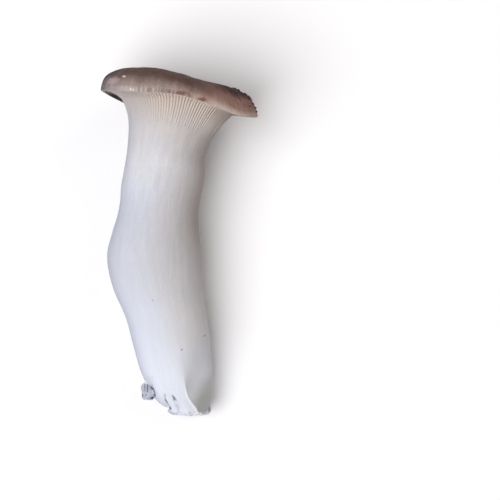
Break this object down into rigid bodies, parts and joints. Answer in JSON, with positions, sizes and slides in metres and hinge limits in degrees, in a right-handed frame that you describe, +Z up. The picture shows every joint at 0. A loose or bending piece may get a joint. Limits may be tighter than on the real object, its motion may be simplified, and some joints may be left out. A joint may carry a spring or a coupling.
{
  "type": "king oyster mushroom",
  "caption": "Whole king oyster mushroom lying on its side: swollen white stem with a trimmed foot and a small bud, gills down its flare, low brown cap with a wavy margin.",
  "frame": {"origin": "middle of the bounding box's underside, on the surface the mushroom lies on", "axes": "+Y runs along the mushroom from the foot to the cap, +Z is up, +X is across it, towards the side of the foot with the knife's cut"},
  "size_m": [0.0726, 0.1618, 0.0699],
  "materials": {
    "flesh": "satin, moist skin: white fibrous stem, cream gills, greyish brown cap"
  },
  "bodies": {
    "root": {"mushroom": "flesh"}
  },
  "joints": []
}
